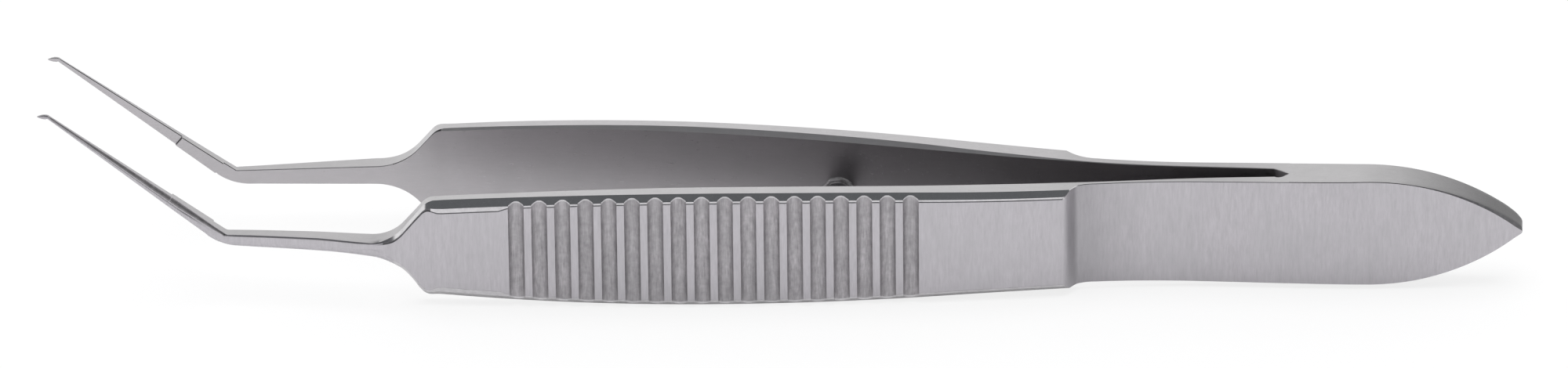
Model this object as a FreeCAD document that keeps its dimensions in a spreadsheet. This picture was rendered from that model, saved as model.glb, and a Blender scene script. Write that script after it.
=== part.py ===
import FreeCAD, Part
import math
import os
import Sketcher

# Capsulorhexis forceps: two stainless spring arms welded together at a pointed tail.
# +X runs to the tail, +Z is up across the width of the handles, and the tips close along Y.
# The near arm lies at -Y, the far arm at +Y. Each piece is drawn about the end of the slot
# between the arms, at mid width, and is then placed so that the forceps stands on Z = 0.
# All sizes are in millimetres and degrees.

SIZES = [
    ("tail_length", 13.56, "slot end to the pointed tail end"),
    ("leaf_length", 12.2, "slot end to the step where the grip starts"),
    ("grip_length", 34.65, "step to the shoulder"),
    ("shank_length", 11.95, "shoulder to the bend, with the shoulder itself"),
    ("shaft_length", 12.2, "bend to the neck of the foot"),
    ("shaft_angle", 37.8, "rise of the shaft above the handle"),
    ("foot_length", 0.6, "neck to the point of the foot"),
    ("foot_height", 0.27, "tallest section of the foot"),
    ("foot_point", 0.06, "height left at the blunted point"),
    ("tail_width", 6.6, "widest place of the tail"),
    ("tail_arc", 13.2, "radius of the two arcs that meet at the tail end"),
    ("tail_tip_width", 0.4, "width left between those arcs at the tail end"),
    ("tail_tip_radius", 0.4, "rounding of that end"),
    ("root_width", 6.5, "width of leaf and tail at the slot end"),
    ("tail_flat", 2.3, "slot end to where the tail starts to thin"),
    ("tail_end_thickness", 1.5, "thickness at the tail end"),
    ("tail_thinning_radius", 180.0, "radius of each tail face as it thins"),
    ("leaf_width", 6.31, "narrowest place of the spring leaf"),
    ("leaf_narrowest", 9.8, "slot end to the narrowest place of the leaf"),
    ("waist_length", 9.0, "narrowest place of the leaf to where the grip outline turns convex"),
    ("waist_width", 6.653, "width where the grip outline turns convex"),
    ("waist_radius", 243.0, "concave outline between leaf and grip"),
    ("grip_width", 7.12, "widest place of the grip"),
    ("grip_widest", 19.2, "step to the widest place of the grip"),
    ("grip_rear_radius", 340.0, "outline radius on the tail side of the widest place"),
    ("grip_front_radius", 216.0, "outline radius on the tip side of the widest place"),
    ("slot_gap", 0.84, "gap between the two leaves at the slot end"),
    ("slot_depth", 0.45, "rounded end of the slot, past the leaf roots"),
    ("root_thickness", 0.68, "leaf thickness where it meets the tail"),
    ("root_clearance", 0.02, "running gap round each rounded leaf root"),
    ("leaf_slope", 2.9, "spread of each leaf at the slot end"),
    ("leaf_straight", 4.6, "straight part of the leaf inner face"),
    ("leaf_curve_radius", 110.0, "inner face between leaf and grip"),
    ("leaf_curve_end", 2.6, "how far that curve runs into the grip, past the step"),
    ("leaf_outer_flat", 4.3, "flat part of the leaf outer face"),
    ("leaf_outer_radius", 49.7, "outer face of the leaf after its flat part"),
    ("relief_start", 2.0, "length of the concave relief in front of the step"),
    ("relief_radius", 2.4, "concave radius of the relief"),
    ("relief_root", 1.45, "distance of the outer face from mid plane where the relief starts"),
    ("bow_place", 32.7, "step to the widest bow of the arm"),
    ("inner_bow", 3.76, "largest distance of the inner face from mid plane"),
    ("inner_radius", 212.0, "radius of the grip inner face"),
    ("outer_bow", 4.75, "largest distance of the outer face from mid plane"),
    ("outer_radius", 250.0, "radius of the grip outer face"),
    ("edge_chamfer", 0.385, "chamfer along the outer edges of the grip"),
    ("groove_count", 18, "transverse grip grooves"),
    ("groove_pitch", 1.2925, "spacing of the grooves along the face"),
    ("groove_radius", 0.46, "round bottom of a groove"),
    ("groove_depth", 0.30, "depth of a groove"),
    ("last_groove", 8.2, "step to the nearest groove"),
    ("shoulder_corner", 1.0, "rounded corner at the top of the shoulder"),
    ("shoulder_fillet", 3.1, "concave radius from the shoulder to the shank"),
    ("shoulder_angle", 50.0, "slope of the shoulder"),
    ("shank_height", 1.1, "shank height behind the shoulder"),
    ("shank_thickness", 0.92, "shank thickness behind the shoulder"),
    ("shank_flat", 0.74, "flat part of that thickness"),
    ("bend_height", 0.86, "shank height at the bend"),
    ("bend_thickness", 0.75, "shank thickness at the bend"),
    ("bend_flat", 0.33, "flat part of that thickness"),
    ("bend_drop", 0.12, "how far the shank has sunk below mid width at the bend"),
    ("bend_inner", 3.32, "distance of the inner face from mid plane at the bend"),
    ("neck_height", 0.2, "shaft height at the neck of the foot"),
    ("neck_thickness", 0.2, "shaft thickness at the neck of the foot"),
    ("neck_flat", 0.1, "flat part of that thickness"),
    ("neck_inner", 3.12, "distance of the inner face from mid plane at the neck"),
    ("platform_start", 1.3, "bend to the raised inner platform"),
    ("platform_length", 2.8, "length of the raised inner platform"),
    ("platform_height", 0.5, "height of the raised inner platform"),
    ("platform_rise", 0.16, "how far the platform stands off the inner face"),
    ("platform_slant", 0.125, "lean of each end of the platform, to either side of its middle"),
    ("pin_place", 12.5, "step to the stop pin"),
    ("pin_diameter", 1.5, "stop pin"),
    ("pin_reach", 3.3, "length of the stop pin off the far arm"),
    ("pin_round", 0.3, "rounded end of the stop pin"),
    ("pin_collar_diameter", 1.9, "weld collar round the foot of the pin"),
    ("pin_collar_height", 0.2, "how far that collar climbs the pin"),
    ("pin_seat_gap", 0.01, "gap under the flat collar on the curved inner face"),
    ("pin_spigot_diameter", 1.0, "spigot of the pin in the far arm"),
    ("pin_spigot_length", 0.6, "depth of that spigot"),
]

# A cutting outline runs this far past the metal that it cuts.
CLEAR = 1


def fill_sheet(document):
    """Spreadsheet of driving sizes, one named cell each."""
    sheet = document.addObject("Spreadsheet::Sheet", "sizes")
    for row, (name, number, meaning) in enumerate(SIZES, start=1):
        sheet.set(f"A{row}", name)
        sheet.set(f"B{row}", str(number))
        sheet.set(f"C{row}", meaning)
        sheet.setAlias(f"B{row}", name)
    document.recompute()
    return sheet


document = FreeCAD.newDocument("capsulorhexis_forceps")
sizes = fill_sheet(document)


def number(expression):
    """What an expression on the sheet works out to, as a plain number."""
    result = sizes.evalExpression(expression)
    return float(getattr(result, "Value", result))


def bow(crest, radius, distance):
    """Height of a wide arc at a distance along from its crest."""
    return f"({crest} - {radius} + sqrt({radius} ^ 2 - ({distance}) ^ 2))"


# Places along X, counted from the slot end.
STEP_X = "(-sizes.leaf_length)"
GRIP_END_X = "(-sizes.leaf_length - sizes.grip_length)"
BEND_X = f"({GRIP_END_X} - sizes.shank_length)"
BOW_X = "(-sizes.leaf_length - sizes.bow_place)"
CURVE_END_X = "(-sizes.leaf_length - sizes.leaf_curve_end)"
NECK_X = f"({BEND_X} - sizes.shaft_length * cos(sizes.shaft_angle))"
NECK_Z = "(sizes.shaft_length * sin(sizes.shaft_angle) - sizes.bend_drop)"
OVERALL = f"(sizes.tail_length - {NECK_X} + sizes.foot_length)"

# Distances of the two faces of an arm from mid plane.
ROOT_Y = "(sizes.slot_gap / 2 + sizes.root_thickness / 2)"
ROOT_OUTER_Y = "(sizes.slot_gap / 2 + sizes.root_thickness)"
STRAIGHT_Y = "(sizes.slot_gap / 2 + sizes.leaf_straight * tan(sizes.leaf_slope))"


def inner_y(x):
    """Inner face of the grip at a place along X."""
    return bow("sizes.inner_bow", "sizes.inner_radius", f"{x} - {BOW_X}")


def outer_y(x):
    """Outer face of the grip at a place along X."""
    return bow("sizes.outer_bow", "sizes.outer_radius", f"{x} - {BOW_X}")


# Shoulder outline, from its corner on the grip to where it meets the shank.
WIDEST_X = "(-sizes.leaf_length - sizes.grip_widest)"
GRIP_END_Z = bow("sizes.grip_width / 2", "sizes.grip_front_radius", f"{GRIP_END_X} - {WIDEST_X}")
CORNER_X = f"({GRIP_END_X} - sizes.shoulder_corner * sin(sizes.shoulder_angle))"
CORNER_Z = f"({GRIP_END_Z} - sizes.shoulder_corner * (1 - cos(sizes.shoulder_angle)))"
FILLET_Z = ("(sizes.shank_height / 2"
            " + sizes.shoulder_fillet * (1 - cos(sizes.shoulder_angle)))")
FILLET_X = f"({CORNER_X} - ({CORNER_Z} - {FILLET_Z}) / tan(sizes.shoulder_angle))"
SHANK_X = f"({FILLET_X} - sizes.shoulder_fillet * sin(sizes.shoulder_angle))"


def shank_inner_y(x):
    """Inner face of the shank, straight from the shoulder to the bend."""
    at_grip = inner_y(GRIP_END_X)
    share = f"({GRIP_END_X} - {x}) / sizes.shank_length"
    return f"({at_grip} + (sizes.bend_inner - {at_grip}) * {share})"


def origin_plane(body, role):
    for feature in body.Origin.OriginFeatures:
        if feature.Role == role:
            return feature


def new_sketch(body, name, role):
    """Sketch on one of the body's own origin planes."""
    sketch = body.newObject("Sketcher::SketchObject", name)
    sketch.AttachmentSupport = (origin_plane(body, role), [""])
    sketch.MapMode = "FlatFace"
    return sketch


def fix(sketch, kind, geometry, end, expression):
    """Bind one coordinate of a point to an expression."""
    constraint = Sketcher.Constraint(kind, -1, 1, geometry, end, number(expression))
    index = sketch.addConstraint(constraint)
    sketch.setExpression(f"Constraints[{index}]", expression)


def arc_between(start, end, radius, turn):
    """Short arc from start to end, anticlockwise where turn is 1 and clockwise where it is -1."""
    chord = end - start
    rise = math.sqrt(max(radius ** 2 - chord.Length ** 2 / 4, 0.0))
    left = FreeCAD.Vector(-chord.y, chord.x, 0).normalize()
    centre = (start + end) * 0.5 + left * (turn * rise)
    first, last = (start, end) if turn > 0 else (end, start)
    circle = Part.Circle(centre, FreeCAD.Vector(0, 0, 1), radius)
    return Part.ArcOfCircle(circle, circle.parameter(first), circle.parameter(last))


def draw(sketch, corners):
    """Closed outline. A corner is (x, y), or (x, y, radius, turn) if an arc leaves it."""
    points = [FreeCAD.Vector(number(corner[0]), number(corner[1]), 0) for corner in corners]
    ends = []
    for index, corner in enumerate(corners):
        start = points[index]
        end = points[(index + 1) % len(points)]
        if len(corner) == 2:
            geometry = sketch.addGeometry(Part.LineSegment(start, end))
            ends.append((geometry, 1, 2))
        else:
            radius, turn = corner[2:]
            geometry = sketch.addGeometry(arc_between(start, end, number(radius), turn))
            ends.append((geometry, 1, 2) if turn > 0 else (geometry, 2, 1))
    for index, (geometry, first, last) in enumerate(ends):
        following = ends[(index + 1) % len(ends)]
        sketch.addConstraint(
            Sketcher.Constraint("Coincident", geometry, last, following[0], following[1]))
        fix(sketch, "DistanceX", geometry, first, corners[index][0])
        fix(sketch, "DistanceY", geometry, first, corners[index][1])
    for (geometry, first, last), corner in zip(ends, corners):
        if len(corner) == 4:
            index = sketch.addConstraint(
                Sketcher.Constraint("Radius", geometry, number(corner[2])))
            sketch.setExpression(f"Constraints[{index}]", corner[2])


def rectangle(left, right, bottom, top):
    return [(left, bottom), (right, bottom), (right, top), (left, top)]


def both_sides(upper):
    """Corners above the centreline and their mirror images below it, as one closed outline."""
    lower = []
    for index in range(len(upper) - 1, -1, -1):
        leaving = upper[index - 1][2:] if index else ()
        lower.append((upper[index][0], f"(-{upper[index][1]})") + leaving)
    return upper + lower


def on_side(side, corners):
    """Corners of a far arm, or their mirror images for a near arm."""
    placed = []
    for corner in corners:
        moved = (corner[0], f"({side} * {corner[1]})")
        if len(corner) == 4:
            moved += (corner[2], side * corner[3])
        placed.append(moved)
    return placed


def pad(body, name, sketch, length):
    feature = body.newObject("PartDesign::Pad", name)
    feature.Profile = sketch
    feature.SideType = "Symmetric"
    feature.setExpression("Length", length)
    return feature


def cut_through(body, name, sketch):
    feature = body.newObject("PartDesign::Pocket", name)
    feature.Profile = sketch
    feature.SideType = "Symmetric"
    feature.Type = "ThroughAll"
    return feature


def place(body):
    """Stand the piece in the part's frame: mid length at X = 0, widest grip edge at Z = 0."""
    body.setExpression("Placement.Base.x", f"{OVERALL} / 2 - sizes.tail_length")
    body.setExpression("Placement.Base.z", "sizes.grip_width / 2")


def plan_blank(body, side):
    """Grip plate seen from above, thick enough for the leaf to be cut from it."""
    root_radius = "(sizes.root_thickness / 2)"
    corners = [
        ("0", ROOT_OUTER_Y),
        (CURVE_END_X, outer_y(CURVE_END_X), "sizes.outer_radius", 1),
        (GRIP_END_X, outer_y(GRIP_END_X)),
        (SHANK_X, f"({shank_inner_y(SHANK_X)} + sizes.shank_thickness)"),
        (SHANK_X, shank_inner_y(SHANK_X)),
        (GRIP_END_X, inner_y(GRIP_END_X), "sizes.inner_radius", -1),
        (CURVE_END_X, inner_y(CURVE_END_X), "sizes.leaf_curve_radius", 1),
        ("(-sizes.leaf_straight)", STRAIGHT_Y),
        ("0", "(sizes.slot_gap / 2)", root_radius, 1),
        (root_radius, ROOT_Y, root_radius, 1),
    ]
    sketch = new_sketch(body, "plan", "XY_Plane")
    draw(sketch, on_side(side, corners))
    return pad(body, "blank", sketch, f"sizes.grip_width + {CLEAR}")


def width_cut(body):
    """Long edges of the leaf and grip, both sides of the centreline."""
    turn_x = "(-sizes.leaf_narrowest - sizes.waist_length)"
    end_x = f"({SHANK_X} - {CLEAR})"
    end_z = bow("sizes.grip_width / 2", "sizes.grip_front_radius", f"{end_x} - {WIDEST_X}")
    upper = [
        ("sizes.root_thickness", "(sizes.root_width / 2)"),
        ("(-sizes.leaf_narrowest)", "(sizes.leaf_width / 2)", "sizes.waist_radius", -1),
        (turn_x, "(sizes.waist_width / 2)", "sizes.grip_rear_radius", 1),
        (WIDEST_X, "(sizes.grip_width / 2)", "sizes.grip_front_radius", 1),
        (end_x, end_z),
    ]
    sketch = new_sketch(body, "width_outline", "XZ_Plane")
    draw(sketch, rectangle(f"({end_x} - {CLEAR})", f"(sizes.root_thickness + {CLEAR})",
                           "(-sizes.grip_width)", "sizes.grip_width"))
    draw(sketch, both_sides(upper))
    return cut_through(body, "width_cut", sketch)


def chamfer_outer_edges(body, base, side):
    """45 degree chamfer along the two long edges of the outer face."""
    low = number(GRIP_END_X) - CLEAR
    high = number(STEP_X) + CLEAR
    half_narrowest = number("sizes.leaf_width / 2")
    names = []
    for index, edge in enumerate(base.Shape.Edges, start=1):
        middle = edge.valueAt((edge.FirstParameter + edge.LastParameter) / 2)
        ends = [vertex.Point for vertex in edge.Vertexes]
        upright = abs(ends[0].z - ends[-1].z) > half_narrowest
        across = abs(ends[0].y - ends[-1].y) > abs(ends[0].x - ends[-1].x)
        if upright or across or not low < middle.x < high:
            continue
        mid_face = (number(inner_y(str(middle.x))) + number(outer_y(str(middle.x)))) / 2
        if side * middle.y > mid_face:
            names.append(f"Edge{index}")
    feature = body.newObject("PartDesign::Chamfer", "edge_chamfer")
    feature.Base = (base, names)
    feature.setExpression("Size", "sizes.edge_chamfer")
    return feature


def shoulder_cut(body):
    """Rounded corner, slope and concave fillet from the grip down to the shank."""
    beyond_x = f"({SHANK_X} - {CLEAR})"
    corners = [
        (GRIP_END_X, GRIP_END_Z, "sizes.shoulder_corner", 1),
        (CORNER_X, CORNER_Z),
        (FILLET_X, FILLET_Z, "sizes.shoulder_fillet", -1),
        (SHANK_X, "(sizes.shank_height / 2)"),
        (beyond_x, "(sizes.shank_height / 2)"),
        (beyond_x, "sizes.grip_width"),
        (GRIP_END_X, "sizes.grip_width"),
    ]
    sketch = new_sketch(body, "shoulder_outline", "XZ_Plane")
    draw(sketch, corners)
    upper = cut_through(body, "shoulder_cut", sketch)
    mirror = body.newObject("PartDesign::Mirrored", "lower_shoulder_cut")
    mirror.Originals = [upper]
    mirror.MirrorPlane = (origin_plane(body, "XY_Plane"), [""])
    body.Tip = mirror
    return mirror


def leaf_relief(body, side):
    """Metal milled off the outer face, which leaves the thin leaf and a concave step."""
    flat_x = "(-sizes.leaf_outer_flat)"
    relief_x = "(-sizes.leaf_length + sizes.relief_start)"
    beyond_x = "sizes.root_thickness"
    beyond_y = f"(sizes.outer_bow + {CLEAR})"
    corners = [
        (beyond_x, ROOT_OUTER_Y),
        (beyond_x, beyond_y),
        (STEP_X, beyond_y),
        (STEP_X, outer_y(STEP_X), "sizes.relief_radius", 1),
        (relief_x, "sizes.relief_root", "sizes.leaf_outer_radius", 1),
        (flat_x, ROOT_OUTER_Y),
    ]
    sketch = new_sketch(body, "relief_outline", "XY_Plane")
    draw(sketch, on_side(side, corners))
    return cut_through(body, "leaf_relief", sketch)


def grooves(body, side):
    """Round-bottomed grooves across the outer face, spaced along its arc."""
    sketch = new_sketch(body, "groove_outline", "XY_Plane")
    centre_y = "(sizes.outer_bow - sizes.outer_radius)"
    first_x = f"({STEP_X} - sizes.last_groove - {BOW_X})"
    reach = "(sizes.outer_radius + sizes.groove_radius - sizes.groove_depth)"
    sketch.setExpression("AttachmentOffset.Base.x", BOW_X)
    sketch.setExpression("AttachmentOffset.Base.y", f"{side} * {centre_y}")
    height = f"({side} * sqrt({reach} ^ 2 - {first_x} ^ 2))"
    middle = FreeCAD.Vector(number(first_x), number(height), 0)
    circle = sketch.addGeometry(
        Part.Circle(middle, FreeCAD.Vector(0, 0, 1), number("sizes.groove_radius")))
    fix(sketch, "DistanceX", circle, 3, first_x)
    fix(sketch, "DistanceY", circle, 3, height)
    index = sketch.addConstraint(
        Sketcher.Constraint("Radius", circle, number("sizes.groove_radius")))
    sketch.setExpression(f"Constraints[{index}]", "sizes.groove_radius")
    groove = cut_through(body, "groove", sketch)
    pattern = body.newObject("PartDesign::PolarPattern", "grooves")
    pattern.Originals = [groove]
    pattern.Axis = (sketch, ["N_Axis"])
    pattern.Reversed = side < 0
    pattern.setExpression("Occurrences", "sizes.groove_count")
    pattern.setExpression(
        "Angle",
        "(sizes.groove_count - 1) * sizes.groove_pitch / sizes.outer_radius * 180 / pi")
    body.Tip = pattern
    return pattern


def half_round(body, side, name, x, z, tilt, inner, flat, thickness, height):
    """Section of a shank or shaft: flat inner face, rounded outer side."""
    sketch = new_sketch(body, name, "YZ_Plane")
    sketch.AttachmentOffset = FreeCAD.Placement(
        FreeCAD.Vector(0, 0, 0), FreeCAD.Rotation(FreeCAD.Vector(1, 0, 0), number(tilt)))
    sketch.setExpression("AttachmentOffset.Base.y", z)
    sketch.setExpression("AttachmentOffset.Base.z", x)
    sketch.setExpression("AttachmentOffset.Rotation.Angle", tilt)
    bulge = f"({thickness} - {flat})"
    radius = f"((({height} / 2) ^ 2 + {bulge} ^ 2) / (2 * {bulge}))"
    top = f"({height} / 2)"
    shoulder_y = f"({inner} + {flat})"
    corners = [
        (inner, f"(-{top})"),
        (shoulder_y, f"(-{top})", radius, 1),
        (f"({inner} + {thickness})", "0", radius, 1),
        (shoulder_y, top),
        (inner, top),
    ]
    mirrored = []
    for corner in corners:
        moved = (f"({side} * {corner[0]})", corner[1])
        if len(corner) == 4:
            moved += (corner[2], side * corner[3])
        mirrored.append(moved)
    draw(sketch, mirrored)
    return sketch


def loft(body, name, sections):
    feature = body.newObject("PartDesign::AdditiveLoft", name)
    feature.Profile = sections[0]
    feature.Sections = sections[1:]
    feature.Ruled = True
    return feature


def shank_and_shaft(body, side):
    """Straight shank, a mitred bend and the tapering shaft up to the neck."""
    mitre = "(sizes.shaft_angle / 2)"
    sections = [
        half_round(body, side, "shank_section", SHANK_X, "0", "0", shank_inner_y(SHANK_X),
                   "sizes.shank_flat", "sizes.shank_thickness", "sizes.shank_height"),
        half_round(body, side, "bend_section", BEND_X, "(-sizes.bend_drop)", mitre,
                   "sizes.bend_inner", "sizes.bend_flat", "sizes.bend_thickness",
                   f"(sizes.bend_height / cos{mitre})"),
        half_round(body, side, "neck_section", NECK_X, NECK_Z, "sizes.shaft_angle",
                   "sizes.neck_inner", "sizes.neck_flat", "sizes.neck_thickness",
                   "sizes.neck_height"),
    ]
    return loft(body, "shank", sections)


def foot(body, side):
    """Small lens-shaped foot at the end of the shaft, pointing straight ahead."""
    half_neck = "(sizes.neck_height / 2)"
    point_x = f"({NECK_X} - sizes.foot_length)"
    sections = [
        half_round(body, side, "foot_heel", f"({NECK_X} + {half_neck})",
                   f"({NECK_Z} - {half_neck} * tan(sizes.shaft_angle))", "0",
                   "sizes.neck_inner", "sizes.neck_flat", "sizes.neck_thickness",
                   "sizes.neck_height"),
        half_round(body, side, "foot_middle", f"({NECK_X} - {half_neck})", NECK_Z, "0",
                   "sizes.neck_inner", "sizes.neck_flat", "sizes.neck_thickness",
                   "sizes.foot_height"),
        half_round(body, side, "foot_front", point_x, NECK_Z, "0", "sizes.neck_inner",
                   "(sizes.foot_point / 2)", "sizes.foot_point", "sizes.foot_point"),
    ]
    return loft(body, "foot", sections)


def platform(body, side):
    """Raised flat on the inner face of the shaft, with slanted ends."""
    inner = ("(sizes.bend_inner + (sizes.neck_inner - sizes.bend_inner)"
             " * (sizes.platform_start + sizes.platform_length) / sizes.shaft_length)")
    sketch = new_sketch(body, "platform_outline", "XZ_Plane")
    sketch.AttachmentOffset = FreeCAD.Placement(
        FreeCAD.Vector(0, 0, 0),
        FreeCAD.Rotation(FreeCAD.Vector(0, 0, -1), number("sizes.shaft_angle")))
    sketch.setExpression("AttachmentOffset.Rotation.Angle", "sizes.shaft_angle")
    sketch.setExpression("AttachmentOffset.Base.x", BEND_X)
    sketch.setExpression("AttachmentOffset.Base.y", "-sizes.bend_drop")
    sketch.setExpression("AttachmentOffset.Base.z", f"{-side} * ({inner} - sizes.platform_rise)")
    near = "(-sizes.platform_start)"
    far = "(-sizes.platform_start - sizes.platform_length)"
    top = "(sizes.platform_height / 2)"
    bottom = "(-sizes.platform_height / 2)"
    corners = [
        (f"({near} + sizes.platform_slant)", bottom),
        (f"({near} - sizes.platform_slant)", top),
        (f"({far} - sizes.platform_slant)", top),
        (f"({far} + sizes.platform_slant)", bottom),
    ]
    draw(sketch, corners)
    feature = body.newObject("PartDesign::Pad", "platform")
    feature.Profile = sketch
    feature.Reversed = side > 0
    feature.setExpression("Length", "sizes.platform_rise + sizes.bend_flat / 2")
    return feature


PIN_X = "(-sizes.leaf_length - sizes.pin_place)"
PIN_LEAN = f"asin(({PIN_X} - {BOW_X}) / sizes.inner_radius)"


def pin_hole(body):
    """Blind hole for the spigot of the stop pin, square to the inner face."""
    sketch = new_sketch(body, "pin_hole_outline", "XZ_Plane")
    lean = f"(-{PIN_LEAN})"
    sketch.AttachmentOffset = FreeCAD.Placement(
        FreeCAD.Vector(0, 0, 0), FreeCAD.Rotation(FreeCAD.Vector(0, 1, 0), number(lean)))
    sketch.setExpression("AttachmentOffset.Rotation.Angle", lean)
    sketch.setExpression("AttachmentOffset.Base.x", PIN_X)
    sketch.setExpression("AttachmentOffset.Base.z", f"-{inner_y(PIN_X)}")
    radius = "(sizes.pin_spigot_diameter / 2)"
    circle = sketch.addGeometry(
        Part.Circle(FreeCAD.Vector(0, 0, 0), FreeCAD.Vector(0, 0, 1), number(radius)))
    sketch.addConstraint(Sketcher.Constraint("Coincident", circle, 3, -1, 1))
    index = sketch.addConstraint(Sketcher.Constraint("Radius", circle, number(radius)))
    sketch.setExpression(f"Constraints[{index}]", radius)
    feature = body.newObject("PartDesign::Pocket", "pin_hole")
    feature.Profile = sketch
    feature.Type = "Length"
    feature.Reversed = False
    feature.setExpression("Length", "sizes.pin_spigot_length")
    return feature


def build_arm(name, side):
    """One arm: side is 1 for the far arm and -1 for the near arm."""
    body = document.addObject("PartDesign::Body", name)
    plan_blank(body, side)
    outline = width_cut(body)
    document.recompute()
    chamfer_outer_edges(body, outline, side)
    shoulder_cut(body)
    leaf_relief(body, side)
    grooves(body, side)
    shank_and_shaft(body, side)
    foot(body, side)
    platform(body, side)
    place(body)
    return body


def build_tail(name):
    """Welded tail: a pointed leaf shape that thins towards its end, with two root seats."""
    body = document.addObject("PartDesign::Body", name)
    seat = "(sizes.root_thickness / 2 + sizes.root_clearance)"
    horn_x = f"(sqrt({seat} ^ 2 - (sizes.root_thickness / 2) ^ 2))"
    gap = "(sizes.slot_gap / 2)"
    slot_radius = f"(({gap} ^ 2 + sizes.slot_depth ^ 2) / (2 * sizes.slot_depth))"
    end_y = "(sizes.tail_end_thickness / 2)"
    upper = [
        ("sizes.tail_length", end_y, "sizes.tail_thinning_radius", 1),
        ("sizes.tail_flat", ROOT_OUTER_Y),
        (horn_x, ROOT_OUTER_Y, seat, -1),
        (f"({seat})", ROOT_Y, seat, -1),
        (horn_x, gap, slot_radius, -1),
    ]
    slot_end = [(f"({horn_x} + sizes.slot_depth)", "0", slot_radius, -1)]
    lower = both_sides(upper)[len(upper):]
    lower[0] = lower[0][:2] + (seat, -1)
    sketch = new_sketch(body, "plan", "XY_Plane")
    draw(sketch, upper + slot_end + lower)
    pad(body, "blank", sketch, f"sizes.grip_width + {CLEAR}")
    tip_z = "(sizes.tail_tip_width / 2)"
    tip_x = ("(sizes.tail_length - sizes.tail_tip_radius"
             f" + sqrt(sizes.tail_tip_radius ^ 2 - {tip_z} ^ 2))")
    fall = f"(sizes.tail_width / 2 - {tip_z})"
    arc_x = f"({tip_x} - sqrt(sizes.tail_arc ^ 2 - (sizes.tail_arc - {fall}) ^ 2))"
    outline = both_sides([
        (tip_x, tip_z, "sizes.tail_arc", 1),
        (arc_x, "(sizes.tail_width / 2)"),
        ("0", "(sizes.root_width / 2)"),
        (f"(-{CLEAR})", "(sizes.root_width / 2)"),
    ])
    outline[-1] += ("sizes.tail_tip_radius", 1)
    sketch = new_sketch(body, "width_outline", "XZ_Plane")
    draw(sketch, rectangle(f"(-{CLEAR} * 2)", f"(sizes.tail_length + {CLEAR})",
                           "(-sizes.grip_width)", "sizes.grip_width"))
    draw(sketch, outline)
    cut_through(body, "width_cut", sketch)
    place(body)
    return body


def build_pin(name):
    """Stop pin with a weld collar, turned about its own axis, which points at the near arm."""
    body = document.addObject("PartDesign::Body", name)
    radius = "(sizes.pin_diameter / 2)"
    collar = "(sizes.pin_collar_diameter / 2)"
    spigot = "(sizes.pin_spigot_diameter / 2)"
    corners = [
        ("0", "sizes.pin_spigot_length"),
        ("0", "(-sizes.pin_reach)"),
        (f"({radius} - sizes.pin_round)", "(-sizes.pin_reach)", "sizes.pin_round", 1),
        (radius, "(-sizes.pin_reach + sizes.pin_round)"),
        (radius, "(-sizes.pin_collar_height)"),
        (collar, "(-sizes.pin_seat_gap)"),
        (spigot, "(-sizes.pin_seat_gap)"),
        (spigot, "sizes.pin_spigot_length"),
    ]
    sketch = new_sketch(body, "profile", "XY_Plane")
    draw(sketch, corners)
    feature = body.newObject("PartDesign::Revolution", "turned_pin")
    feature.Profile = sketch
    feature.ReferenceAxis = (sketch, ["V_Axis"])
    feature.Angle = 360
    body.Placement = FreeCAD.Placement(
        FreeCAD.Vector(0, 0, 0),
        FreeCAD.Rotation(FreeCAD.Vector(0, 0, -1), number(PIN_LEAN)))
    body.setExpression("Placement.Rotation.Angle", PIN_LEAN)
    body.setExpression("Placement.Base.x", f"{OVERALL} / 2 - sizes.tail_length + {PIN_X}")
    body.setExpression("Placement.Base.y", inner_y(PIN_X))
    body.setExpression("Placement.Base.z", "sizes.grip_width / 2")
    return body


def check(document, pieces):
    """Stop if any object failed or any piece is not one valid solid."""
    for item in document.Objects:
        if "Invalid" in item.State or "Error" in item.State:
            raise RuntimeError(f"{item.Name} failed: {item.getStatusString()}")
    for piece in pieces:
        shape = piece.Shape
        if shape.isNull() or not shape.isValid() or len(shape.Solids) != 1:
            raise RuntimeError(f"{piece.Label} is not one valid solid")


tail = build_tail("tail")
near_arm = build_arm("near_arm", -1)
far_arm = build_arm("far_arm", 1)
pin_hole(far_arm)
stop_pin = build_pin("stop_pin")
document.recompute()
pieces = [tail, near_arm, far_arm, stop_pin]
check(document, pieces)

os.makedirs("parts", exist_ok=True)
for piece in pieces:
    piece.Shape.exportStep(f"parts/{piece.Label}.step")
    box = piece.Shape.BoundBox
    print(piece.Label, round(piece.Shape.Volume, 3), [round(value, 3) for value in (
        box.XMin, box.XMax, box.YMin, box.YMax, box.ZMin, box.ZMax)])
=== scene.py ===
import math

import bmesh
import bpy
from mathutils import Matrix, Vector, noise


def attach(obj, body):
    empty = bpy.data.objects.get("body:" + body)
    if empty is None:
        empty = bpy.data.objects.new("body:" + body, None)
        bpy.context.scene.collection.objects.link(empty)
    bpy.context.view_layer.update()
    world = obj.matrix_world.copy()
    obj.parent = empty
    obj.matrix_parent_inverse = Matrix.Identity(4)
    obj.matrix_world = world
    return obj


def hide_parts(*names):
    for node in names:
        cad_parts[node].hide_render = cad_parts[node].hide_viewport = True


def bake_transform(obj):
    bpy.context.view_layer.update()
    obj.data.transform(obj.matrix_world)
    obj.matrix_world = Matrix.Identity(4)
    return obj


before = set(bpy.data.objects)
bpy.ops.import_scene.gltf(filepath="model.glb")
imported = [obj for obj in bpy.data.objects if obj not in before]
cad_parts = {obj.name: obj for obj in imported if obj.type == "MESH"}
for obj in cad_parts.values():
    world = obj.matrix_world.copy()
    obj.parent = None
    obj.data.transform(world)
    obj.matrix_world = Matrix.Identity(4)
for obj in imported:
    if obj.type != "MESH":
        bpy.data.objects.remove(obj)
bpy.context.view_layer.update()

# Sizes are in millimetres here and become metres when a mesh is made.
# X runs to the tail, Z is up, and an arm is drawn at +Y: side -1 mirrors it for the near arm.
MM = 0.001
SLOT_X = 27.74
MID_Z = 3.56

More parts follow.
